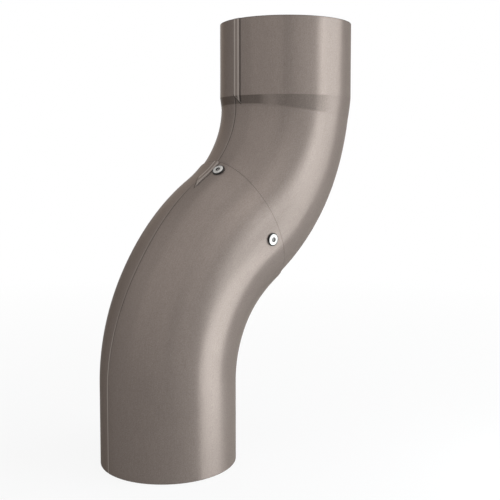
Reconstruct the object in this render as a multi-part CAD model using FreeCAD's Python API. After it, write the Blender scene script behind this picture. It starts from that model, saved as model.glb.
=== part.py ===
import FreeCAD, Part
import math
import os

# Offset of a round metal downpipe: two sheet-metal elbows, bent opposite ways in
# one plane, pushed together and held by three blind rivets.
# Frame: the origin is the centre of the outlet's mouth, +Z is up and +X is the
# way that the inlet stands off from the outlet. Lengths are in millimetres and
# angles in degrees.

# Pipe and sheet
pipe_radius = 50.0              # outside of the pipe, at the outlet and at both plain ends
sheet = 0.7                     # thickness of the painted steel sheet
pipe_gap = 0.4                  # room all round between the two elbows, in the sleeve
socket_gap = 1.6                # room all round for the pipe that comes down into the socket

# The line of the two elbows
outlet_length = 58.5            # straight, below the lower bend
lower_bend = 132.0              # radius of the lower bend, at the pipe's centre line
upper_bend = 124.8              # radius of the upper bend
bend_angle = 55.5               # how far each bend turns the pipe
socket_length = 58.0            # straight, above the upper bend
taper_length = 13.5             # along the bend, from the socket down to its neck
neck_swell = 0.8                # the pipe is still this much wider at the neck,
neck_length = 35.0              # and comes down to its plain size over this length

# The joint between the elbows
sleeve_rim = 8.0                # rim of the lower elbow's sleeve, past the meeting of the bends
sleeve_depth = 12.0             # from that rim down to where the sleeve starts to narrow
sleeve_taper = 62.0             # along the bend, from there down to the plain pipe
rim_tilt = 9.5                  # the rim leans over, so the sleeve is longer on the seam's side
spigot_depth = 15.0             # how deep the upper elbow's plain end stands in the sleeve

# The lap seam of each elbow, by its angle around the pipe from +X
upper_seam = 186.2
lower_seam = 185.8
lap_width = 6.0                 # the doubled sheet, where it stands out on a socket
lap_slant = 9.0                 # the lap's lower end is cut on the slant, over this length
sleeve_lap = 19.3               # from the sleeve's rim down to the foot of its lap

# The rivets, by their angles around the pipe and their distances below the sleeve's
# rim: one beside the lap and one on each side, with none in the crook of the lower
# bend, where the sleeve is too short for one
rivet_places = ((273.5, 8.8), (195.0, 7.0), (94.0, 8.8))
shank_radius = 2.4
flange_radius = 4.75
flange_height = 1.3             # top of the flange, above the sleeve
flange_edge = 0.7               # height of the flange's rim, below its sloping top
flange_top = 2.9                # radius of the flat at its middle
flange_lift = 0.25              # the flat flange stands off the round sleeve by this
hole_gap = 0.05                 # room around the shank
bulb_radius = 3.3               # the blind end, swollen behind the sheets
bulb_height = 4.6
bulb_drop = 0.2                 # its flat top stands off the round inside by this
bulb_foot = 2.1                 # radius of its lower end
mandrel_radius = 1.3
mandrel_sink = 0.35             # the broken end, below the top of the flange
mandrel_head = 1.9              # radius of the head that pulled the blind end up
mandrel_gap = 0.02

# Worked out from the above
lower_centre = FreeCAD.Vector(lower_bend, 0, outlet_length)
half_turn = math.radians(bend_angle)
meeting = FreeCAD.Vector(
    lower_bend * (1 - math.cos(half_turn)), 0, outlet_length + lower_bend * math.sin(half_turn))
upper_centre = meeting + FreeCAD.Vector(-math.cos(half_turn), 0, math.sin(half_turn)) * upper_bend
inlet_foot = upper_centre + FreeCAD.Vector(upper_bend, 0, 0)
lower_taper_end = bend_angle - math.degrees((sleeve_depth - sleeve_rim) / lower_bend)
lower_taper_start = lower_taper_end - math.degrees(sleeve_taper / lower_bend)
neck_angle = math.degrees(taper_length / upper_bend)
neck_start = math.degrees((taper_length + neck_length) / upper_bend)
rim_slope = math.tan(math.radians(rim_tilt))
sleeve_radius = pipe_radius + pipe_gap + sheet
socket_radius = pipe_radius + socket_gap + sheet
neck_radius = pipe_radius + neck_swell
lap_root = 1.5 * sheet          # the lap's strip starts half way into the sheet under it
walls = 2 * sheet + pipe_gap    # what a rivet goes through
bulb_top = -(walls + bulb_drop)
bulb_end = bulb_top - bulb_height
past_rim = 1.0 + math.degrees(math.asin(
    (sleeve_rim + rim_slope * sleeve_radius) / (upper_bend - sleeve_radius)))

Y_AXIS = FreeCAD.Vector(0, 1, 0)
Z_AXIS = FreeCAD.Vector(0, 0, 1)
TAPER_SECTIONS = 5
OVERRUN = 5.0                   # how far a cutting tool runs past what it cuts


def lower_point(angle):
    """Centre line of the lower bend, where the pipe leans by angle."""
    turn = math.radians(angle)
    return lower_centre + FreeCAD.Vector(-math.cos(turn), 0, math.sin(turn)) * lower_bend


def upper_point(angle):
    """Centre line of the upper bend, where the pipe leans by angle."""
    turn = math.radians(angle)
    return upper_centre + FreeCAD.Vector(math.cos(turn), 0, -math.sin(turn)) * upper_bend


def leaning(shape, point, angle):
    """A shape made on the Z axis, moved to a point of the line and leant towards +X."""
    moved = shape.copy()
    moved.Placement = FreeCAD.Placement(point, FreeCAD.Rotation(Y_AXIS, angle)).multiply(shape.Placement)
    return moved


def ring(point, angle, radius):
    """A circle around the pipe's line."""
    circle = Part.Wire(Part.makeCircle(radius, FreeCAD.Vector(), Z_AXIS))
    return leaning(circle, point, angle)


def section(point, angle, radius, wall):
    """The cut face of the pipe: a ring of sheet, or a full disc if wall is 0."""
    face = Part.Face(ring(point, angle, radius))
    if wall:
        face = face.cut(Part.Face(ring(point, angle, radius - wall))).Faces[0]
    return face


def straight(point, angle, radius, length, wall=sheet):
    """A run along the pipe's own line; a negative length runs down the pipe."""
    along = FreeCAD.Rotation(Y_AXIS, angle).multVec(Z_AXIS)
    return section(point, angle, radius, wall).extrude(along * length)


def bent(point, angle, centre, turn, radius, wall=sheet):
    """A run along a bend, from a point where the pipe leans by angle."""
    return section(point, angle, radius, wall).revolve(centre, Y_AXIS, turn)


def evenly(share):
    return share


def slow_start(share):
    return share * share


def slow_ends(share):
    return share * share * (3 - 2 * share)


def grown(line, start, end, start_radius, end_radius, swell):
    """A skin along a bend whose radius grows from start to end as swell says."""
    rings = []
    for step in range(TAPER_SECTIONS):
        share = step / (TAPER_SECTIONS - 1)
        angle = start + (end - start) * share
        radius = start_radius + (end_radius - start_radius) * swell(share)
        rings.append(ring(line(angle), angle, radius))
    return Part.makeLoft(rings, False, False)


def tapered(line, start, end, start_radius, end_radius, swell, wall=sheet):
    """A run along a bend that grows from one radius to another."""
    outside = grown(line, start, end, start_radius, end_radius, swell)
    inside = grown(line, start, end, start_radius - wall, end_radius - wall, swell)
    ends = [section(line(start), start, start_radius, wall), section(line(end), end, end_radius, wall)]
    skin = Part.Compound(outside.Faces + inside.Faces + ends)
    skin.sewShape()
    return Part.Solid(skin.Shells[0])


def fused(shapes):
    return shapes[0].multiFuse(shapes[1:])


def beyond_rim(shift, side):
    """Everything on one side, 1 above or -1 below, of a plane along the sleeve's rim."""
    size = 4 * pipe_radius
    block = Part.makeBox(size, size, size, FreeCAD.Vector(-size / 2, -size / 2, min(side, 0) * size))
    direction = FreeCAD.Rotation(Y_AXIS, bend_angle).multVec(Z_AXIS)
    return leaning(block, meeting + direction * (sleeve_rim + shift), bend_angle + rim_tilt)


def sleeve(radius, wall=sheet):
    """The wide part of the lower elbow, which follows the pipe's line past its rim."""
    return [
        bent(lower_point(lower_taper_end), lower_taper_end, lower_centre,
             bend_angle - lower_taper_end, radius, wall),
        bent(meeting, bend_angle, upper_centre, -past_rim, radius, wall),
    ]


def lower_taper(proud=0, wall=sheet):
    return tapered(lower_point, lower_taper_start, lower_taper_end,
                   pipe_radius + proud, sleeve_radius + proud, slow_ends, wall)


def upper_taper(proud=0, wall=sheet):
    return tapered(upper_point, neck_angle, 0,
                   neck_radius + proud, socket_radius + proud, evenly, wall)


def neck():
    return tapered(upper_point, neck_start, neck_angle, pipe_radius, neck_radius, slow_start)


def lap(bars, seam_angle, top, bottom, point, angle):
    """The doubled sheet along a socket: a raised strip with a slanted foot."""
    half = lap_width / 2
    near = pipe_radius / 2
    corners = [
        FreeCAD.Vector(near, -half, top),
        FreeCAD.Vector(near, half, top),
        FreeCAD.Vector(near, half, bottom),
        FreeCAD.Vector(near, -half, bottom + lap_slant),
    ]
    strip = Part.Face(Part.makePolygon(corners + corners[:1])).extrude(FreeCAD.Vector(pipe_radius, 0, 0))
    strip.rotate(FreeCAD.Vector(), Z_AXIS, seam_angle)
    strip = leaning(strip, point, angle)
    return [bar.common(strip) for bar in bars]


def build_lower_elbow(holes):
    runs = [
        straight(FreeCAD.Vector(), 0, pipe_radius, outlet_length),
        bent(lower_point(0), 0, lower_centre, lower_taper_start, pipe_radius),
        lower_taper(),
    ]
    bars = sleeve(sleeve_radius + sheet, lap_root) + [lower_taper(sheet, lap_root)]
    raised = lap(bars, lower_seam, 2 * pipe_radius, sleeve_rim - sleeve_lap, meeting, bend_angle)
    elbow = fused(runs + sleeve(sleeve_radius) + raised)
    return elbow.cut([beyond_rim(0, 1)] + holes).removeSplitter()


def build_upper_elbow(holes):
    runs = [
        straight(meeting, bend_angle, pipe_radius, -2 * spigot_depth),
        bent(meeting, bend_angle, upper_centre, neck_start - bend_angle, pipe_radius),
        neck(),
        upper_taper(),
        straight(inlet_foot, 0, socket_radius, socket_length),
    ]
    bars = [straight(inlet_foot, 0, socket_radius + sheet, socket_length, lap_root),
            upper_taper(sheet, lap_root)]
    raised = lap(bars, upper_seam, 2 * socket_length, -lap_slant, inlet_foot, 0)
    elbow = fused(runs + raised)
    return elbow.cut([beyond_rim(-spigot_depth, -1)] + holes).removeSplitter()


def rivet_seat(around, setback):
    """The point on the sleeve under a rivet's flange, and the way its axis points out."""
    turn = math.radians(around)
    across = sleeve_radius * math.cos(turn)
    along = sleeve_rim - setback - rim_slope * across
    if along < 0:
        lean = bend_angle + math.degrees(math.asin(along / (lower_bend - across)))
        centre = lower_point(lean)
    else:
        lean = bend_angle - math.degrees(math.asin(along / (upper_bend + across)))
        centre = upper_point(lean)
    tilt = FreeCAD.Rotation(Y_AXIS, lean)
    outward = tilt.multVec(FreeCAD.Vector(math.cos(turn), math.sin(turn), 0))
    return centre + outward * sleeve_radius, outward


def on_seat(shape, place):
    """A shape made standing on the XY plane, set on the sleeve at a rivet's place."""
    seat, outward = rivet_seat(*place)
    moved = shape.copy()
    moved.Placement = FreeCAD.Placement(seat, FreeCAD.Rotation(Z_AXIS, outward)).multiply(shape.Placement)
    return moved


def rivet_hole(place):
    drill = Part.makeCylinder(shank_radius + hole_gap, 2 * OVERRUN, FreeCAD.Vector(0, 0, -OVERRUN))
    return on_seat(drill, place)


def turned(points):
    """A solid of revolution about Z from its half section, given as (radius, height)."""
    corners = [FreeCAD.Vector(radius, 0, height) for radius, height in points]
    face = Part.Face(Part.makePolygon(corners + corners[:1]))
    return face.revolve(FreeCAD.Vector(), Z_AXIS, 360)


def build_rivet_body(place):
    """Flange, shank and swollen blind end of one set rivet, with the mandrel's bore."""
    bore = mandrel_radius + mandrel_gap
    return on_seat(turned([
        (bore, flange_height),
        (flange_top, flange_height),
        (flange_radius, flange_edge),
        (flange_radius, flange_lift),
        (shank_radius, flange_lift),
        (shank_radius, bulb_top),
        (bulb_radius, bulb_top),
        (bulb_radius, bulb_top - bulb_height / 2),
        (bulb_foot, bulb_end),
        (bore, bulb_end),
    ]), place)


def build_rivet_mandrel(place):
    """What stays of the steel pin: its stem, and the head below the blind end."""
    top = flange_height - mandrel_sink
    foot = bulb_end - mandrel_gap
    return on_seat(turned([
        (0, top),
        (mandrel_radius, top),
        (mandrel_radius, foot),
        (mandrel_head, foot),
        (mandrel_head, foot - mandrel_head),
        (mandrel_radius, foot - 2 * mandrel_head + mandrel_radius),
        (0, foot - 2 * mandrel_head + mandrel_radius),
    ]), place)


def main():
    os.makedirs("parts", exist_ok=True)
    holes = [rivet_hole(place) for place in rivet_places]
    pieces = {
        "lower_elbow": build_lower_elbow(holes),
        "upper_elbow": build_upper_elbow(holes),
    }
    for number, place in enumerate(rivet_places, 1):
        pieces[f"rivet_body_{number}"] = build_rivet_body(place)
        pieces[f"rivet_mandrel_{number}"] = build_rivet_mandrel(place)
    for name, shape in pieces.items():
        shape.exportStep(f"parts/{name}.step")
        box = shape.optimalBoundingBox()
        print(name, "solids", len(shape.Solids), "valid", shape.isValid(), "volume", round(shape.Volume, 1),
              "faces", len(shape.Faces), "z", round(box.ZMin, 2), round(box.ZMax, 2))


main()
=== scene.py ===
from collections import namedtuple
import math

import bmesh
import bpy
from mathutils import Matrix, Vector


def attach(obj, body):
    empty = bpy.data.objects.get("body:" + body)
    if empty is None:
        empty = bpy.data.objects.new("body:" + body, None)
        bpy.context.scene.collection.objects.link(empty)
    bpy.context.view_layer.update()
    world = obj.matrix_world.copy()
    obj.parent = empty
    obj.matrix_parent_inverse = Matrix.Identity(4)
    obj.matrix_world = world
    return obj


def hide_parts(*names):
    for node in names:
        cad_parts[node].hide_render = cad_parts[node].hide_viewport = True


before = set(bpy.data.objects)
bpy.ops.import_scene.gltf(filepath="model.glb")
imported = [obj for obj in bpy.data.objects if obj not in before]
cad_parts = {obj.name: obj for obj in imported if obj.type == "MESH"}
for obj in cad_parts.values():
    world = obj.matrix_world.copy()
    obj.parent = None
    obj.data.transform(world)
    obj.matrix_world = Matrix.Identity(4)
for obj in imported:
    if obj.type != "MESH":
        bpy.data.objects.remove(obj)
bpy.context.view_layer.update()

# Offset of a round metal downpipe: two painted elbows, held together by three blind
# rivets. The pieces are worked out in millimetres and made in metres. The stage, the
# lamps and the camera are in metres.
MM = 0.001

# The elbows, as in the CAD source. The radii are those of the outside.
PIPE = 50.0
SHEET = 0.7
PIPE_GAP = 0.4                  # room all round between the two elbows
SOCKET_GAP = 1.6                # room all round for the pipe above
NECK_SWELL = 0.8
SLEEVE = PIPE + PIPE_GAP + SHEET
SOCKET = PIPE + SOCKET_GAP + SHEET
NECK = PIPE + NECK_SWELL

OUTLET_LENGTH = 58.5
LOWER_BEND = 132.0
UPPER_BEND = 124.8
TURN = math.radians(55.5)
SOCKET_LENGTH = 58.0
TAPER = 13.5                    # from the socket down to its neck
NECK_LENGTH = 35.0              # from the neck down to the plain pipe

RIM = 8.0                       # the sleeve's rim, past the meeting of the bends
SLEEVE_DEPTH = 12.0             # from the rim down to where the sleeve narrows
SLEEVE_TAPER = 62.0             # from there down to the plain pipe
RIM_LEAN = TURN + math.radians(9.5)
SPIGOT = 15.0                   # the upper elbow's plain end, inside the sleeve

LOWER_SEAM = math.radians(185.8)
UPPER_SEAM = math.radians(186.2)
LAP_WIDTH = 6.0
LAP_SLANT = 9.0                 # the lap's lower end is cut on the slant
LAP_FOOT = 19.3 - RIM           # the lower elbow's lap starts this far below the meeting

# The rivets: degrees around the pipe, and distances below the sleeve's rim
RIVETS = ((273.5, 8.8), (195.0, 7.0), (94.0, 8.8))

# Radii of a rivet's parts
BORE = 1.34
SHANK = 2.4
DOME_START = 1.75
DOME_END = 4.35
FLANGE = 4.75
BULB = 3.3
PIN = 1.3
PIN_HEAD = 1.9

# Heights of a rivet's parts, outwards from the sleeve's skin
DOME_TOP = 1.3
DOME_FALL = 0.42                # how much lower the dome's edge is,
DOME_CURVE = 2.2                # and how late it falls
FLANGE_LIFT = 0.2
BEHIND_SHEETS = -(2 * SHEET + PIPE_GAP)
BULB_FOOT = -6.6

# What is finer than the CAD solids
LAP_EDGE = 0.3                  # width of the lap's steep sides
SLANT_EDGE = 1.8 * LAP_EDGE     # and of its slanted end
SEAM_DEPTH = 0.17               # the seam's fine line on the plain pipe
DIMPLE_DEPTH = 0.16             # the sheet is pulled in around each rivet
DIMPLE_WIDTH = 6.5
DIMPLE_REACH = 16.0
INSET = 0.16                    # the sheets stop this short, for their rounded ends
END_BULGE = 0.45                # of half the sheet, by which a rounded end stands out
PLAIN_WAVE = 0.3                # the plain pipe's share of the sleeve's unevenness

# Unevenness of rolled pipe: height, number of waves around it, and where they start
WAVES = ((0.035, 3, 0.7), (0.02, 7, 2.1))

# The seam's fine line wanders a little around the pipe, in degrees
LOWER_LINE = 180.6
LOWER_LINE_DRIFT = 4.6
LOWER_LINE_RETURN = 1.6
UPPER_LINE = 182.4
UPPER_LINE_DRIFT = 1.8

# How finely the sheets are divided
EVEN_PLACES = 156               # all round the pipe
SEAM_REACH = math.radians(8)    # on each side of a seam, where the places are finer
SEAM_PLACES = 72
EDGE_PLACES = 10                # across each edge of a lap
END_RINGS = 5                   # around each rounded end

# How far from the meeting of the bends a rim is looked for, and in how many steps
RIM_SEARCH = 60.0
RIM_HALVINGS = 40

# The map that the paint's grain follows: length of pipe to one unit, and how far it
# moves on with each ring of a rounded end
GRAIN_UNIT = 100.0
GRAIN_STEP = 0.1

# What the paint reads from the mesh: painted shade along edges and steps, painted shade on the
# taper, painted highlight on ridges and seams
FULL_EDGE_SHADE = (1.0, 0.0, 0.0)
UNMARKED = (0.0, 0.0, 0.0)

# Colours
FLAKE_DARK = (0.165, 0.136, 0.120)
FLAKE_LIGHT = (0.235, 0.198, 0.177)
GRAZING_FLAKE = (0.42, 0.40, 0.38)
# Painted shade in a band on the taper under the socket
TAPER_SHADE = (0.34, 0.33, 0.32)
# Painted highlight along the laps' ridges and the seam lines
RIDGE_HIGHLIGHT = (0.50, 0.45, 0.41)
# Near-black painted shade along the sheets' ends, beside the laps' edges and along the seam lines
EDGE_SHADE = (0.022, 0.019, 0.018)
ALUMINIUM = (0.38, 0.37, 0.355)
STEEL = (0.13, 0.125, 0.12)
# Painted shade round the rivets' rolled edges and in their bores
RIVET_SHADE = (0.012, 0.011, 0.011)
FLOOR_GREY = (0.5, 0.5, 0.5)
WHITE = (1, 1, 1)
COOL = (0.90, 0.965, 1.0)


def sideways(lean):
    """Across the pipe's line in the plane of the bends, where it leans this far."""
    return Vector((-math.cos(lean), 0, math.sin(lean)))


# Distances along the pipe's line, from the outlet's mouth
BEND_FROM = OUTLET_LENGTH
MEETING = OUTLET_LENGTH + LOWER_BEND * TURN
FOOT = MEETING + UPPER_BEND * TURN
TOP = FOOT + SOCKET_LENGTH
SLEEVE_FROM = MEETING - (SLEEVE_DEPTH - RIM)
JOINT_ZONE = SLEEVE_FROM - 25           # the lower lap and the dimples are above here
SOCKET_ZONE = FOOT - TAPER - 4          # the upper lap and the pressed band are above here

# Where the bends have their centres and meet, and how the pipe and the rim lie there
LOWER_CENTRE = Vector((LOWER_BEND, 0, OUTLET_LENGTH))
MEET = LOWER_CENTRE + sideways(TURN) * LOWER_BEND
UPPER_CENTRE = MEET + sideways(TURN) * UPPER_BEND
ALONG = Vector((math.sin(TURN), 0, math.cos(TURN)))
RIM_NORMAL = Vector((math.sin(RIM_LEAN), 0, math.cos(RIM_LEAN)))

# A rivet's place on the sleeve and its axis, and where that is along and around the pipe
Seat = namedtuple("Seat", "centre normal along around")

# Rings of points and marks around the pipe, and how far along the pipe they are
Row = namedtuple("Row", "along outside inside marks")


# Steps, lines and rows of values

def smooth(value):
    """0 up to 0 and 1 from 1 on, with a soft curve between."""
    value = min(1.0, max(0.0, value))
    return value * value * (3 - 2 * value)


def rise(value, start, length):
    """0 up to the start, and 1 from a length further on."""
    return smooth((value - start) / length)


def fall(value, start, length):
    """1 up to the start, and 0 from a length further on."""
    return 1 - rise(value, start, length)


def edge(value, width):
    """0 below 0 and 1 above it, with a soft edge of this width."""
    return smooth(value / width + 0.5)


def bell(value, width):
    return math.exp(-(value / width) ** 2)


def drawn(value, at, width, strength=1.0):
    """A soft line: its strength where the value is at the line, and less beside it."""
    return strength * bell(value - at, width)


def between(start, end, share):
    return start + (end - start) * share


def spread(start, end, steps):
    """Even values, with both ends among them."""
    return [start + (end - start) * step / steps for step in range(steps + 1)]


# Places on the pipe

def line(s, straight_below=False):
    """A point of the pipe's line, and how far the line leans there.

    The spigot is straight below the meeting of the bends.
    """
    if s < MEETING and straight_below:
        return MEET + ALONG * (s - MEETING), TURN
    if s < BEND_FROM:
        return Vector((0, 0, s)), 0.0
    if s < MEETING:
        lean = (s - BEND_FROM) / LOWER_BEND
        return LOWER_CENTRE + sideways(lean) * LOWER_BEND, lean
    if s < FOOT:
        lean = TURN - (s - MEETING) / UPPER_BEND
        return UPPER_CENTRE - sideways(lean) * UPPER_BEND, lean
    return UPPER_CENTRE + Vector((UPPER_BEND, 0, s - FOOT)), 0.0


def outward(lean, around):
    """Away from the pipe's line. Around is 0 on the side that the inlet stands off to."""
    reach = math.cos(around)
    return Vector((reach * math.cos(lean), math.sin(around), -reach * math.sin(lean)))


def skin(s, around, radius, straight_below=False):
    point, lean = line(s, straight_below)
    return point + outward(lean, around) * radius


def at_rim(around, radius, shift, straight_below=False):
    """How far along the line the skin meets a plane parallel to the sleeve's rim."""
    base = MEET + ALONG * (RIM + shift)
    low = MEETING - RIM_SEARCH
    high = MEETING + RIM_SEARCH
    for _ in range(RIM_HALVINGS):
        middle = (low + high) / 2
        if (skin(middle, around, radius, straight_below) - base).dot(RIM_NORMAL) < 0:
            low = middle
        else:
            high = middle
    return (low + high) / 2


def rivet_seat(degrees, setback):
    """Where a rivet sits on the sleeve, and which way it points: square to the skin."""
    around = math.radians(degrees)
    across = SLEEVE * math.cos(around)
    distance = RIM - setback - math.tan(RIM_LEAN - TURN) * across
    if distance < 0:
        s = MEETING + LOWER_BEND * math.asin(distance / (LOWER_BEND - across))
    else:
        s = MEETING + UPPER_BEND * math.asin(distance / (UPPER_BEND + across))
    point, lean = line(s)
    normal = outward(lean, around)
    return Seat(point + normal * SLEEVE, normal, s, around)


SEATS = [rivet_seat(*place) for place in RIVETS]


# The shape of each elbow's skin

def dimple(s, around):
    """How far the sleeve is pulled in, as a negative length."""
    sink = 0.0
    for seat in SEATS:
        apart = math.hypot(s - seat.along, SLEEVE * (around - seat.around))
        if apart < DIMPLE_REACH:
            sink -= DIMPLE_DEPTH * bell(apart, DIMPLE_WIDTH)
    return sink


def wave(around):
    """Faint unevenness, always inwards."""
    return sum(height * (math.sin(count * around + start) - 1) for height, count, start in WAVES)


def slant(foot, across):
    """Height of the lap's slanted end, which runs up from its foot across the lap."""
    return foot + LAP_SLANT * (LAP_WIDTH / 2 - across) / LAP_WIDTH


def lower_lap(s, around):
    """How far a place is across the lower elbow's lap, and above the lap's slanted end."""
    across = SLEEVE * (around - LOWER_SEAM)
    height = (skin(s, around, SLEEVE) - MEET).dot(ALONG)
    return across, height - slant(-LAP_FOOT, across)


def upper_lap(s, around):
    """The same for the upper elbow, whose lap starts on the taper under the socket."""
    across = SOCKET * (around - UPPER_SEAM)
    return across, s - FOOT - slant(-LAP_SLANT, across)


def strip(across, above):
    """1 on the lap's raised strip and 0 beside it."""
    return edge(LAP_WIDTH / 2 - abs(across), LAP_EDGE) * edge(above, SLANT_EDGE)


def lower_seam(s, around):
    """How far a place is across the lower elbow's fine seam line.

    The line drifts over most of the bend and comes back a little before the joint.
    """
    drift = LOWER_LINE_DRIFT * rise(s, start=BEND_FROM, length=0.62 * (MEETING - BEND_FROM))
    back = LOWER_LINE_RETURN * rise(s, start=MEETING - 55, length=50)
    return PIPE * (around - math.radians(LOWER_LINE + drift - back))


def upper_seam(s, around):
    """The same for the upper elbow, whose line drifts from the socket to the joint."""
    drift = UPPER_LINE_DRIFT * smooth((FOOT - s) / (FOOT - MEETING))
    return PIPE * (around - math.radians(UPPER_LINE + drift))


def lower_fade(s):
    """The fine line ends where the sleeve begins."""
    return fall(s, start=SLEEVE_FROM - 9, length=8)


def upper_fade(s):
    """The fine line ends in the upper half of the taper."""
    return fall(s, start=FOOT - TAPER / 2, length=6)


def seam_step(across):
    """The seam's fine line: a groove beside the outer sheet's edge, and the edge's low lip."""
    groove = drawn(across, at=0, width=0.32, strength=-SEAM_DEPTH)
    lip = drawn(across, at=0.75, width=0.55, strength=0.3 * SEAM_DEPTH)
    return groove + lip


def sleeve_share(s):
    """0 on the plain pipe and 1 in the sleeve, which the pipe grows into slowly."""
    return rise(s, start=SLEEVE_FROM - SLEEVE_TAPER, length=SLEEVE_TAPER)


def lower_radius(s):
    return PIPE + (SLEEVE - PIPE) * sleeve_share(s)


def upper_radius(s):
    """The pipe grows slowly to the neck, and then evenly to the socket.

    The even stretch has a crease at each end.
    """
    below = FOOT - s
    if below <= 0:
        return SOCKET
    if below < TAPER:
        return SOCKET + (NECK - SOCKET) * below / TAPER
    share = max(0.0, 1 - (below - TAPER) / NECK_LENGTH)
    return PIPE + (NECK - PIPE) * share * share


def lower_skin(s, around):
    """The lower elbow's outside radius, with its lap, dimples, seam line and unevenness."""
    radius = lower_radius(s) + wave(around) * between(PLAIN_WAVE, 1, sleeve_share(s))
    if s > JOINT_ZONE:
        radius += SHEET * strip(*lower_lap(s, around))
        radius += dimple(s, around)
    return radius + lower_fade(s) * seam_step(lower_seam(s, around))


def upper_skin(s, around):
    """The upper elbow's outside radius. Its waves are turned, to differ from the sleeve's."""
    radius = upper_radius(s)
    if s > SOCKET_ZONE:
        radius += wave(around + 1) * rise(s, start=FOOT, length=20)
        radius += SHEET * strip(*upper_lap(s, around))
    return radius + upper_fade(s) * seam_step(upper_seam(s, around))


# What is drawn in the paint

def lap_marks(across, above):
    """Painted shade beside the lap's edge and below its slanted end, and two painted highlights
    along the lap.
    """
    half = LAP_WIDTH / 2
    on = edge(above, width=0.8)
    edge_shade = on * drawn(across, at=half + 0.3, width=0.45, strength=0.7)
    left = drawn(across, at=-2.3, width=0.75)
    right = drawn(across, at=1.7, width=0.8, strength=0.9)
    highlight = on * max(left, right)
    near_strip = -half - 1.5 < across < half + 0.5
    if near_strip:
        edge_shade = max(edge_shade, drawn(above, at=-1.2, width=0.8, strength=0.9))
        highlight = max(highlight, drawn(above, at=0.35, width=0.6))
    return edge_shade, highlight


def seam_marks(across, dark, light):
    """Painted shade along the fine line's edge, and a painted highlight beside it."""
    edge_shade = drawn(across, at=0.55, width=0.5, strength=dark)
    highlight = drawn(across, at=-0.45, width=0.45, strength=light)
    return edge_shade, highlight


def painted_taper_shade(below, around):
    """Painted shade in a band on the taper under the socket.

    It is darkest on the seam's side, with a light streak past it, light again round
    the front, and it reaches lower down at the front and on the inlet's side.
    """
    turn = math.degrees(around)
    seam_side = rise(turn, start=90, length=60) * fall(turn, start=207, length=6)
    streak = bell(turn - 219, width=5)
    front = rise(turn, start=262, length=10) * fall(turn, start=330, length=20)
    shaded = 0.37 + 0.28 * seam_side - 0.28 * streak - 0.32 * front
    lower_side = rise(turn, start=200, length=60) + fall(turn, start=20, length=70)
    depth = between(9.5, 12.2, lower_side)
    return shaded * edge(below, width=0.7) * fall(below, start=depth, length=2)


def lower_marks(s, around):
    """The lower elbow's painted shade along edges and steps, painted taper shade and painted
    highlights, each from 0 to 1.

    The seam line has a strong painted highlight on the straight outlet and strong painted shade in
    the bend.
    """
    fade = lower_fade(s)
    bent = rise(s, start=BEND_FROM + 8, length=40)
    dark = fade * between(0.3, 0.9, bent)
    light = fade * between(1, 0.2, bent)
    edge_shade, highlight = seam_marks(lower_seam(s, around), dark, light)
    if s > JOINT_ZONE:
        lap_shade, lap_highlight = lap_marks(*lower_lap(s, around))
        edge_shade = max(edge_shade, lap_shade)
        highlight = max(highlight, lap_highlight)
    return edge_shade, 0.0, highlight


def upper_marks(s, around):
    """The same for the upper elbow. Its seam line has painted shade all the way."""
    fade = upper_fade(s)
    edge_shade, highlight = seam_marks(upper_seam(s, around), dark=0.95 * fade, light=0.25 * fade)
    taper_shade = 0.0
    if s > SOCKET_ZONE:
        lap_shade, lap_highlight = lap_marks(*upper_lap(s, around))
        edge_shade = max(edge_shade, lap_shade)
        highlight = max(highlight, lap_highlight)
        taper_shade = painted_taper_shade(FOOT - s, around)
    return edge_shade, taper_shade, highlight


# The elbows

def angles(seam, radius):
    """Places around the pipe: even, finer across the seam, and finest at the lap's edges."""
    half = LAP_WIDTH / 2 / radius
    fringe = 0.9 * LAP_EDGE / radius
    found = []
    for step in range(EVEN_PLACES):
        turn = 2 * math.pi * step / EVEN_PLACES
        if abs(turn - seam) > SEAM_REACH:
            found.append(turn)
    for turn in spread(-SEAM_REACH, SEAM_REACH, SEAM_PLACES):
        if min(abs(turn - half), abs(turn + half)) > fringe:
            found.append(seam + turn)
    for side in (-half, half):
        for turn in spread(-fringe, fringe, EDGE_PLACES):
            found.append(seam + side + turn)
    return sorted(found)


def finished(name, mesh, marks):
    """A smooth piece of this mesh, with the marks that the paint reads."""
    layer = mesh.color_attributes.new(name="marks", type="FLOAT_COLOR", domain="POINT")
    layer.data.foreach_set("color", [part for mark in marks for part in (*mark, 1.0)])
    mesh.polygons.foreach_set("use_smooth", [True] * len(mesh.polygons))
    piece = bpy.data.objects.new(name, mesh)
    bpy.context.scene.collection.objects.link(piece)
    return piece


def sheet_row(elbow, turns, along, outer, inner, straight_below=False):
    """One ring of the sheet's outside, of its inside and of its marks.

    Outer and inner hold the places along the pipe's line, one for each turn.
    """
    uneven_radius, plain_radius, marks = elbow
    return Row(
        along,
        [skin(s, turn, uneven_radius(s, turn), straight_below) for s, turn in zip(outer, turns)],
        [skin(s, turn, plain_radius(s) - SHEET, straight_below) for s, turn in zip(inner, turns)],
        [marks(s, turn) for s, turn in zip(outer, turns)],
    )


def level_rows(elbow, turns, stations):
    """Rows that are square to the pipe's line."""
    rows = []
    for s in stations:
        places = [s] * len(turns)
        rows.append(sheet_row(elbow, turns, s, places, places))
    return rows


def rounded_end(row, next_row):
    """Rings around the end of the sheet, from its outside to its inside."""
    rings = []
    for step in range(1, END_RINGS + 1):
        turn = math.pi * step / (END_RINGS + 1)
        ring = []
        for out, into, before in zip(row.outside, row.inside, next_row.outside):
            middle = (out + into) / 2
            across = (out - into) / 2
            beyond = (out - before).normalized() * (SHEET / 2) * END_BULGE
            ring.append(middle + across * math.cos(turn) + beyond * math.sin(turn))
        rings.append(ring)
    return rings


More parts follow.
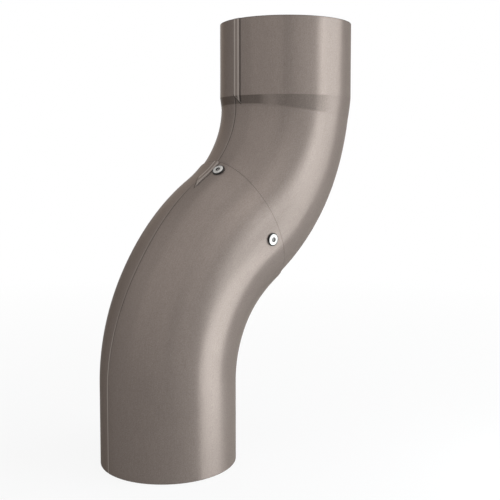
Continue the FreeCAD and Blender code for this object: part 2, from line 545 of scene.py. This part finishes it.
def sheet_mesh(name, rows):
    """A closed sheet: up its outside, over one end, down its inside and round the other."""
    outside = [row.outside for row in rows]
    inside = [row.inside for row in rows]
    top = rounded_end(rows[-1], rows[-2])
    foot = rounded_end(rows[0], rows[1])
    loop = outside + top + inside[::-1] + foot[::-1]
    count = len(loop[0])

    along = [row.along for row in rows]
    past_top = [along[-1] + GRAIN_STEP * step for step in range(1, END_RINGS + 1)]
    past_foot = [along[0] - GRAIN_STEP * step for step in range(1, END_RINGS + 1)]
    grain_along = along + past_top + along[::-1] + past_foot

    faces = []
    grain = []
    for row in range(len(loop)):
        after = (row + 1) % len(loop)
        low = grain_along[row] / GRAIN_UNIT
        high = grain_along[after] / GRAIN_UNIT
        below = row * count
        above = after * count
        for place in range(count):
            beside = (place + 1) % count
            left = place / count
            right = (place + 1) / count
            faces.append((below + place, below + beside, above + beside, above + place))
            grain += [(low, left), (low, right), (high, right), (high, left)]

    mesh = bpy.data.meshes.new(name)
    mesh.from_pydata([point * MM for ring in loop for point in ring], [], faces)
    layer = mesh.uv_layers.new(name="grain")
    layer.data.foreach_set("uv", [part for place in grain for part in place])
    built = bmesh.new()
    built.from_mesh(mesh)
    bmesh.ops.recalc_face_normals(built, faces=built.faces)
    built.to_mesh(mesh)
    built.free()

    # The last ring is the edge of the rim or mouth, and it and the rounded ends get the full
    # painted shade
    marks = [mark for row in rows[:-1] for mark in row.marks]
    marks += [(1.0, taper_shade, 0.0) for _, taper_shade, _ in rows[-1].marks]
    marks += [FULL_EDGE_SHADE] * (END_RINGS * count)
    marks += [UNMARKED] * (len(rows) * count)
    marks += [FULL_EDGE_SHADE] * (END_RINGS * count)
    return finished(name, mesh, marks)


def lower_elbow():
    """Level rings up the pipe, and then rings that lean over step by step to the rim."""
    elbow = (lower_skin, lower_radius, lower_marks)
    turns = angles(LOWER_SEAM, SLEEVE)
    lean_from = MEETING - 33.4
    mouth = spread(INSET, 4, 6)
    outlet = spread(6, BEND_FROM, 14)
    bend = spread(BEND_FROM + 2, lean_from - 0.6, 62)
    rows = level_rows(elbow, turns, mouth + outlet + bend)
    outer_ends = [at_rim(turn, SLEEVE, -INSET) for turn in turns]
    inner_ends = [at_rim(turn, SLEEVE - SHEET, -INSET) for turn in turns]
    for share in spread(0, 1, 110):
        along = between(lean_from, MEETING + RIM, share)
        outer = [between(lean_from, end, share) for end in outer_ends]
        inner = [between(lean_from, end, share) for end in inner_ends]
        rows.append(sheet_row(elbow, turns, along, outer, inner))
    return sheet_mesh("lower_elbow_sheet", rows)


def upper_elbow():
    """Leaning rings from the spigot's end, and then level ones to the socket's mouth."""
    elbow = (upper_skin, upper_radius, upper_marks)
    turns = angles(UPPER_SEAM, SOCKET)
    level_from = MEETING + 22
    taper_from = FOOT - TAPER
    starts = [at_rim(turn, PIPE, -SPIGOT + INSET, straight_below=True) for turn in turns]
    rows = []
    for share in spread(0, 1, 24):
        along = between(MEETING - 20, level_from, share)
        places = [between(start, level_from, share) for start in starts]
        rows.append(sheet_row(elbow, turns, along, places, places, straight_below=True))
    bend = spread(level_from + 1.5, taper_from - 2, 50)
    taper = spread(taper_from - 1.6, FOOT + 1.5, 84)
    socket = spread(FOOT + 4, TOP - 3, 14)
    mouth = spread(TOP - 2.4, TOP - 0.9, 4) + [TOP - 0.6, TOP - INSET]
    rows += level_rows(elbow, turns, bend + taper + socket + mouth)
    return sheet_mesh("upper_elbow_sheet", rows)


# The rivets

def turned(name, profile, seat, steps, rough=None, shade=None):
    """A closed shape turned about a rivet's axis, from (radius, height) points.

    A point on the axis is one vertex. A shape without one closes on itself.
    """
    side = seat.normal.cross(Vector((0, 0, 1))).normalized()
    other = seat.normal.cross(side)
    built = bmesh.new()
    rows = []
    marks = []
    for number, (radius, height) in enumerate(profile):
        row = []
        for step in range(steps if radius else 1):
            turn = 2 * math.pi * step / steps
            around = side * math.cos(turn) + other * math.sin(turn)
            lift = rough(number, turn) if rough else 0.0
            point = seat.centre + around * radius + seat.normal * (height + lift)
            row.append(built.verts.new(point * MM))
        # How much painted shade this ring gets
        dark = shade(radius, height) if shade else 0.0
        marks += [(dark, 0.0, 0.0)] * len(row)
        rows.append(row)
    pairs = list(zip(rows, rows[1:]))
    if len(rows[0]) > 1:
        pairs.append((rows[-1], rows[0]))
    for below, above in pairs:
        for step in range(steps):
            beside = (step + 1) % steps
            corners = (below[step % len(below)], below[beside % len(below)],
                       above[beside % len(above)], above[step % len(above)])
            distinct = list(dict.fromkeys(corners))
            built.faces.new(distinct)
    bmesh.ops.recalc_face_normals(built, faces=built.faces)
    mesh = bpy.data.meshes.new(name)
    built.to_mesh(mesh)
    built.free()
    return finished(name, mesh, marks)


def painted_rivet_shade(radius, height):
    """Painted shade round the flange's rolled edge and in the mouth of the bore."""
    if height <= 0:
        return 0.0
    return max(rise(radius, start=3.65, length=0.45), fall(radius, start=1.65, length=0.3))


def rivet_body(number, seat):
    """The set rivet: a low dome with a rolled edge, a shank and the swollen blind end."""
    bore = [(BORE, BULB_FOOT), (BORE, 0.7)]
    mouth = [(1.36, 1.02), (1.45, 1.2), (1.58, 1.29)]
    dome = []
    for radius in spread(DOME_START, DOME_END, 12):
        share = (radius - PIN) / (DOME_END - PIN)
        dome.append((radius, DOME_TOP - DOME_FALL * share ** DOME_CURVE))
    rolled_edge = [(4.55, 0.78), (4.7, 0.66), (FLANGE, 0.5), (4.73, 0.34), (4.62, 0.24)]
    rolled_edge.append((4.4, FLANGE_LIFT))
    shank = [(SHANK, FLANGE_LIFT), (SHANK, BEHIND_SHEETS - 0.3)]
    swelling = [(2.9, 0.34), (3.2, 0.6), (BULB, 1.2), (3.26, 2.3), (2.9, 3.5), (2.3, 4.4)]
    bulb = [(radius, BEHIND_SHEETS - depth) for radius, depth in swelling] + [(2.1, BULB_FOOT)]
    profile = bore + mouth + dome + rolled_edge + shank + bulb
    return turned(f"rivet_{number}_body", profile, seat, steps=64, shade=painted_rivet_shade)


def rivet_mandrel(number, seat):
    """The steel pin's broken end in the bore, with its torn top, and its head below."""
    def torn(row, turn):
        """Unevenness of the torn top's two rings, different on each pin."""
        if row == 1:
            return 0.12 * math.sin(turn + number) + 0.05 * math.sin(3 * turn + 2 * number)
        if row == 2:
            return 0.1 * math.sin(turn + number) + 0.07 * math.sin(4 * turn + number)
        return 0.0
    top = [(0, 0.92), (0.55, 0.86), (1.0, 0.93), (1.24, 0.86)]
    shaft = [(PIN, 0.7), (PIN, -6.55)]
    head = [(1.86, -6.62), (PIN_HEAD, -6.9), (PIN_HEAD, -8.3), (1.7, -8.9), (1.3, -9.25), (0, -9.3)]
    return turned(f"rivet_{number}_mandrel", top + shaft + head, seat, steps=40, rough=torn)


# Materials

def empty_tree(owner):
    """The node tree of a material or world, with nothing in it yet."""
    owner.use_nodes = True
    owner.node_tree.nodes.clear()
    return owner.node_tree


def add(tree, kind, values):
    """A new node. Each socket gets a number, a colour or another node's output."""
    node = tree.nodes.new(kind)
    for socket, value in values.items():
        if isinstance(value, bpy.types.NodeSocket):
            tree.links.new(value, node.inputs[socket])
        else:
            node.inputs[socket].default_value = value
    return node


def object_place(tree):
    return tree.nodes.new("ShaderNodeTexCoord").outputs["Object"]


def noise(tree, place, scale, detail, roughness=0.5):
    values = {"Vector": place, "Scale": scale, "Detail": detail, "Roughness": roughness}
    return add(tree, "ShaderNodeTexNoise", values).outputs["Fac"]


def ramp(tree, value, low, high):
    """A colour ramp between two ends, each a position and a colour."""
    node = add(tree, "ShaderNodeValToRGB", {"Fac": value})
    for element, (position, colour) in zip(node.color_ramp.elements, (low, high)):
        element.position = position
        element.color = (*colour, 1)
    return node.outputs["Color"]


def ranged(tree, value, low, high, start=0.0, end=1.0):
    """The value, which runs from start to end, made to run from low to high."""
    values = {"Value": value, "From Min": start, "From Max": end, "To Min": low, "To Max": high}
    return add(tree, "ShaderNodeMapRange", values).outputs["Result"]


def bump(tree, height, strength, distance):
    values = {"Height": height, "Strength": strength, "Distance": distance}
    return add(tree, "ShaderNodeBump", values)


def calculated(tree, operation, first, second):
    node = add(tree, "ShaderNodeMath", {0: first, 1: second})
    node.operation = operation
    return node.outputs["Value"]


def mixed(tree, blend, first, second, share):
    node = add(tree, "ShaderNodeMixRGB", {"Fac": share, "Color1": first, "Color2": second})
    node.blend_type = blend
    return node.outputs["Color"]


def tinted(tree, colour, mask, tint, blend, most=1.0):
    """The colour with a tint laid on, as far as the mask says."""
    share = calculated(tree, "MULTIPLY", mask, most)
    return mixed(tree, blend, colour, (*tint, 1), share)


def marks_of(tree):
    """The marks that the mesh keeps: painted shade along edges and steps, painted shade on the
    taper and painted highlight.
    """
    marks = tree.nodes.new("ShaderNodeAttribute")
    marks.attribute_name = "marks"
    return add(tree, "ShaderNodeSeparateColor", {"Color": marks.outputs["Color"]}).outputs


def rolled_streaks(tree):
    """Faint streaks from the rolling of the sheet, long along the pipe and fine around it."""
    along, around = 9, 520
    grain = tree.nodes.new("ShaderNodeUVMap")
    grain.uv_map = "grain"
    stretch = {"Vector": grain.outputs["UV"], "Scale": (along, around, 1)}
    stretched = add(tree, "ShaderNodeMapping", stretch).outputs["Vector"]
    rolled = noise(tree, stretched, scale=1.0, detail=3)
    dim = [0.86] * 3
    bright = [1.1] * 3
    return ramp(tree, rolled, (0.36, dim), (0.64, bright))


def paint():
    """Satin metallic paint: fine flake, a faint orange peel and a slow drift of tone."""
    material = bpy.data.materials.new("taupe_metallic_paint")
    tree = empty_tree(material)
    place = object_place(tree)
    flake = noise(tree, place, scale=1500, detail=3, roughness=0.7)
    drift = noise(tree, place, scale=22, detail=3)
    peel = noise(tree, place, scale=420, detail=1)

    flakes = ramp(tree, flake, (0.3, FLAKE_DARK), (0.7, FLAKE_LIGHT))
    toned = mixed(tree, "MULTIPLY", flakes, drift, share=0.1)
    grained = mixed(tree, "MULTIPLY", toned, rolled_streaks(tree), share=0.22)

    # Painted shade on the taper, painted highlights, and near-black painted shade along edges and
    # steps, as the mesh's marks say
    edge_shade, taper_shade, highlight = marks_of(tree)
    shaded = tinted(tree, grained, taper_shade, TAPER_SHADE, "MULTIPLY")
    highlighted = tinted(tree, shaded, highlight, RIDGE_HIGHLIGHT, "MIX", most=0.55)
    edged = tinted(tree, highlighted, edge_shade, EDGE_SHADE, "MIX", most=0.9)

    fine = bump(tree, flake, strength=0.05, distance=0.0002)
    coarse = bump(tree, peel, strength=0.03, distance=0.0004)
    tree.links.new(fine.outputs["Normal"], coarse.inputs["Normal"])
    tangent = tree.nodes.new("ShaderNodeTangent")
    tangent.direction_type = "UV_MAP"
    tangent.uv_map = "grain"

    shader = add(tree, "ShaderNodeBsdfPrincipled", {
        "Base Color": edged,
        "Roughness": ranged(tree, flake, low=0.36, high=0.44),
        "Normal": coarse.outputs["Normal"],
        "Tangent": tangent.outputs["Tangent"],
        "Anisotropic": 0.9,
        "Metallic": 0.5,
        "Specular IOR Level": 0.0,
        "Specular Tint": (*GRAZING_FLAKE, 1),
    })
    add(tree, "ShaderNodeOutputMaterial", {"Surface": shader.outputs["BSDF"]})
    return material


def bare(name, colour, roughness, scratch):
    """Bare metal: brushed or torn, with darker grain in the low places, and painted shade where the
    mesh's marks say.
    """
    material = bpy.data.materials.new(name)
    tree = empty_tree(material)
    grain = noise(tree, object_place(tree), scale=scratch, detail=4)
    low_colour = [0.72 * part for part in colour]
    metal = ramp(tree, grain, (0.3, low_colour), (0.68, colour))
    # The first mark is painted shade
    shade, _, _ = marks_of(tree)
    shader = add(tree, "ShaderNodeBsdfPrincipled", {
        "Base Color": tinted(tree, metal, shade, RIVET_SHADE, "MIX", most=0.97),
        "Roughness": ranged(tree, grain, low=roughness - 0.06, high=roughness + 0.1),
        "Normal": bump(tree, grain, strength=0.18, distance=0.0001).outputs["Normal"],
        "Metallic": 1.0,
    })
    add(tree, "ShaderNodeOutputMaterial", {"Surface": shader.outputs["BSDF"]})
    return material


def dress(piece, material, node):
    piece.data.materials.append(material)
    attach(piece, "root")
    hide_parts(node)


# The stage, the light and the camera

def background_rays(tree):
    """1 for the rays that show the white background, and 0 for those that only light.

    The first are the camera's, and those that metal and glass reflect or pass.
    """
    path = tree.nodes.new("ShaderNodeLightPath")
    seen = path.outputs["Is Camera Ray"]
    for name in ("Is Glossy Ray", "Is Transmission Ray"):
        seen = calculated(tree, "MAXIMUM", seen, path.outputs[name])
    return seen


def white_light(tree, kind, strength=1.0):
    """White from an emission or a background node. A strength of 1 renders as white."""
    return add(tree, kind, {"Color": (*WHITE, 1), "Strength": strength}).outputs[0]


def floor_material():
    """Grey where it is lit, with a white glow that shows it as the background.

    The glow is a little weaker near the object, where the floor keeps a shadow.
    """
    material = bpy.data.materials.new("white_floor")
    tree = empty_tree(material)
    length = add(tree, "ShaderNodeVectorMath", {0: object_place(tree)})
    length.operation = "LENGTH"
    away = ranged(tree, length.outputs["Value"], low=0.9, high=1.0, start=0.1, end=0.9)
    share = calculated(tree, "MULTIPLY", background_rays(tree), away)
    lit = add(tree, "ShaderNodeBsdfDiffuse", {"Color": (*FLOOR_GREY, 1)})
    glow = white_light(tree, "ShaderNodeEmission")
    mix = add(tree, "ShaderNodeMixShader", {0: share, 1: lit.outputs["BSDF"], 2: glow})
    add(tree, "ShaderNodeOutputMaterial", {"Surface": mix.outputs[0]})
    return material


def floor():
    """A wide white floor, just below the outlet's mouth."""
    far = 6.0
    drop = 0.0004
    corners = [(-far, -far, 0), (far, -far, 0), (far, far, 0), (-far, far, 0)]
    mesh = bpy.data.meshes.new("floor")
    mesh.from_pydata(corners, [], [(0, 1, 2, 3)])
    mesh.materials.append(floor_material())
    ground = bpy.data.objects.new("floor", mesh)
    ground.location.z = -drop
    bpy.context.scene.collection.objects.link(ground)


def studio():
    """A world that looks white and gives only a faint fill of light."""
    world = bpy.data.worlds.new("studio")
    bpy.context.scene.world = world
    tree = empty_tree(world)
    fill = white_light(tree, "ShaderNodeBackground", strength=0.1)
    white = white_light(tree, "ShaderNodeBackground")
    mix = add(tree, "ShaderNodeMixShader", {0: background_rays(tree), 1: fill, 2: white})
    add(tree, "ShaderNodeOutputWorld", {"Surface": mix.outputs[0]})


def aimed(name, data, place, direction):
    """A lamp or camera at a place, turned to look in a direction."""
    thing = bpy.data.objects.new(name, data)
    thing.location = place
    thing.rotation_euler = direction.to_track_quat("-Z", "Y").to_euler()
    bpy.context.scene.collection.objects.link(thing)
    return thing


def lamp(name, place, aim, size, power, tint=WHITE):
    """A soft box that lights the object and isn't seen by the camera."""
    data = bpy.data.lights.new(name, "AREA")
    data.shape = "RECTANGLE"
    data.size, data.size_y = size
    data.energy = power
    data.color = tint
    box = aimed(name, data, place, Vector(aim) - Vector(place))
    box.visible_camera = False


def lamps():
    """Cool soft boxes on the right, and neutral ones above, on the left and behind."""
    middle = (0.06, 0, 0.17)
    lamp("right", (0.824, -0.641, 0.635), middle, (0.92, 0.42), 9.3, COOL)
    lamp("right_low", (0.444, -0.394, 0.15), (0.06, 0, 0.15), (0.46, 0.27), 1.65, COOL)
    lamp("right_near", (0.176, -0.243, 0.035), (0, 0, 0.035), (0.22, 0.06), 0.47, COOL)
    lamp("front_low", (0.548, -0.959, 0.399), middle, (0.30, 0.30), 1.05, COOL)
    lamp("front_top", (0.195, -0.766, 0.948), middle, (1.10, 0.60), 4.45)
    lamp("left_high", (-0.69, -0.27, 0.62), (0.06, 0, 0.62), (0.90, 0.55), 2.2)
    lamp("left_back", (-0.633, 0.4, 0.66), (0.06, 0, 0.40), (0.70, 0.50), 0.87)
    lamp("top", (0.05, 0.0, 1.2), (0.05, 0, 0.0), (0.80, 0.80), 3.25)
    lamp("back", (0.45, 0.95, 0.6), middle, (0.90, 0.60), 3.2)


def camera():
    """The photograph's viewpoint, pitched down by 4 degrees, so that little shift is needed."""
    data = bpy.data.cameras.new("camera")
    data.sensor_width = 36.0
    data.lens = 58.287
    data.shift_x = -0.001
    data.shift_y = -0.079
    place = (-0.30708, -0.50668, 0.22561)
    direction = Vector((0.602, 0.79548, -0.0694))
    bpy.context.scene.camera = aimed("camera", data, place, direction)


# The whole object on its stage
coat = paint()
flange = bare("rivet_aluminium", ALUMINIUM, roughness=0.36, scratch=900)
pin = bare("rivet_steel", STEEL, roughness=0.45, scratch=2600)
dress(lower_elbow(), coat, "lower_elbow")
dress(upper_elbow(), coat, "upper_elbow")
for number, seat in enumerate(SEATS, 1):
    dress(rivet_body(number, seat), flange, f"rivet_body_{number}")
    dress(rivet_mandrel(number, seat), pin, f"rivet_mandrel_{number}")

floor()
studio()
lamps()
camera()
bpy.context.scene.view_settings.view_transform = "Standard"
